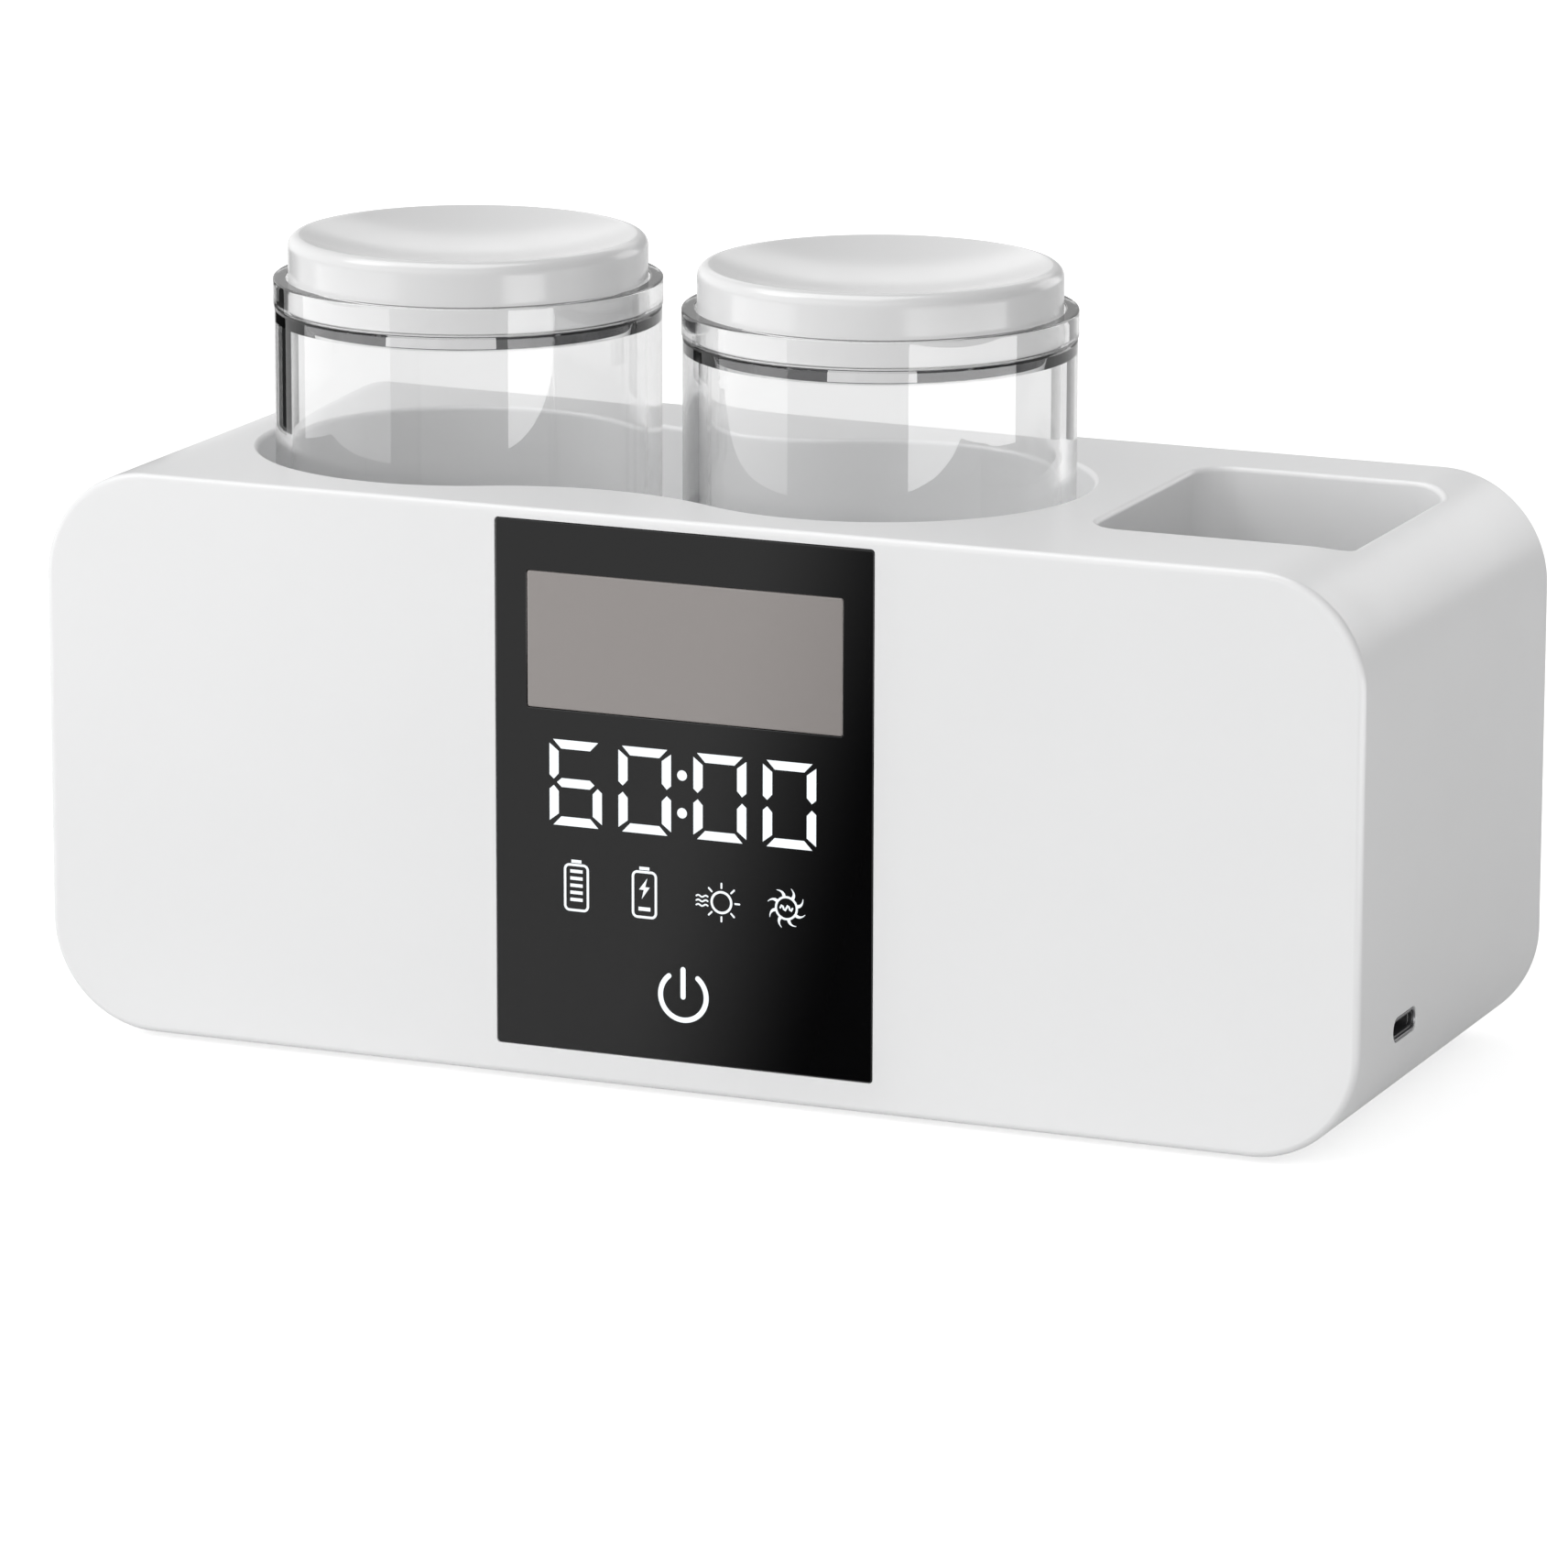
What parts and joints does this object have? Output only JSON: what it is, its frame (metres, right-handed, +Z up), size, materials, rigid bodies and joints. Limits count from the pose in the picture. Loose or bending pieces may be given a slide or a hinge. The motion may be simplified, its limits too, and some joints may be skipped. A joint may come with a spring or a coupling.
{
  "type": "bottle warmer",
  "caption": "Cordless bottle warmer with clear lidded jars in a figure-8 warming well, a side pocket, a touch display panel and a USB-C charging port.",
  "frame": {"origin": "middle of the footprint, on the surface that the feet stand on", "axes": "+X to the right seen from the front, along the longest side; -Y is the front with the panel; +Z up"},
  "size_m": [0.22, 0.088, 0.1255],
  "materials": {
    "shell_white": "satin moulded white",
    "cover_white": "fine-textured moulded white",
    "tub_white": "heat-resistant white, satin",
    "panel_black": "black back-printed glass, polished",
    "window_taupe": "unlit display window, smooth",
    "display_dark": "black reflector plastic",
    "light_guide": "translucent",
    "circuit_board": "green solder mask",
    "chip_black": "moulded components",
    "connector_cream": "nylon connectors",
    "aluminium": "fine-turned",
    "copper": "wound copper",
    "polyimide": "amber film",
    "foam_white": "silicone foam",
    "foam_dark": "open-cell filter foam",
    "duct_black": "heat-resistant black",
    "steel": "plated steel",
    "bronze": "sintered bronze",
    "magnet": "bonded ferrite",
    "battery_blue": "cell jackets",
    "sleeve_green": "shrink sleeve",
    "quartz": "clear lamp window",
    "rubber_grey": "moulded rubber",
    "silicone_grey": "silicone",
    "silicone_clear": "clear silicone",
    "jar_clear": "clear, polished",
    "lid_white": "satin moulded white"
  },
  "bodies": {
    "base": {"housing": "shell_white", "rear_cover": "cover_white", "rubber_feet": "rubber_grey", "well_tub": "tub_white", "well_gasket": "silicone_grey", "pocket_cup": "shell_white", "panel_glass": "panel_black", "status_window": "window_taupe", "status_lcd": "display_dark", "digit_display": "display_dark", "icon_light_guide": "light_guide", "touch_electrode": "foam_dark", "display_board": "circuit_board", "heater_plates": "aluminium", "film_heaters": "polyimide", "insulation_pads": "foam_white", "heater_carriers": "tub_white", "thermistors": "chip_black", "uv_windows": "quartz", "uv_lamp_boards": "circuit_board", "air_duct": "duct_black", "ptc_heater": "aluminium", "blower_case": "duct_black", "blower_lid": "duct_black", "fan_bearing": "bronze", "motor_stator": "copper", "intake_shroud": "duct_black", "intake_filter": "foam_dark", "battery_tray": "duct_black", "battery_cells": "battery_blue", "battery_sleeve": "sleeve_green", "battery_tabs": "steel", "battery_board": "circuit_board", "main_board": "circuit_board", "board_components": "chip_black", "board_connectors": "connector_cream", "buzzer": "chip_black", "usb_board": "circuit_board", "usb_shell": "steel", "usb_tongue": "chip_black", "cover_screws": "steel", "tub_screws": "steel", "carrier_screws": "steel", "board_screws": "steel", "blower_screws": "steel"},
    "left_jar": {"left_jar": "jar_clear"},
    "left_lid": {"left_lid_cap": "lid_white", "left_lid_base": "lid_white", "left_lid_seal": "silicone_clear"},
    "right_jar": {"right_jar": "jar_clear"},
    "right_lid": {"right_lid_cap": "lid_white", "right_lid_base": "lid_white", "right_lid_seal": "silicone_clear"},
    "fan_rotor": {"impeller": "duct_black", "rotor_magnet": "magnet", "fan_shaft": "steel"}
  },
  "joints": [
    {"name": "left_jar_lift", "type": "slide", "parent": "base", "child": "left_jar", "axis": [0, 0, 1], "range_m": [0, 0.07]},
    {"name": "left_lid_lift", "type": "slide", "parent": "left_jar", "child": "left_lid", "axis": [0, 0, 1], "range_m": [0, 0.03]},
    {"name": "right_jar_lift", "type": "slide", "parent": "base", "child": "right_jar", "axis": [0, 0, 1], "range_m": [0, 0.07]},
    {"name": "right_lid_lift", "type": "slide", "parent": "right_jar", "child": "right_lid", "axis": [0, 0, 1], "range_m": [0, 0.03]},
    {"name": "fan_spin", "type": "hinge", "parent": "base", "child": "fan_rotor", "pos_m": [0.08, 0.018, 0.027], "axis": [0, 1, 0], "continuous": true}
  ]
}
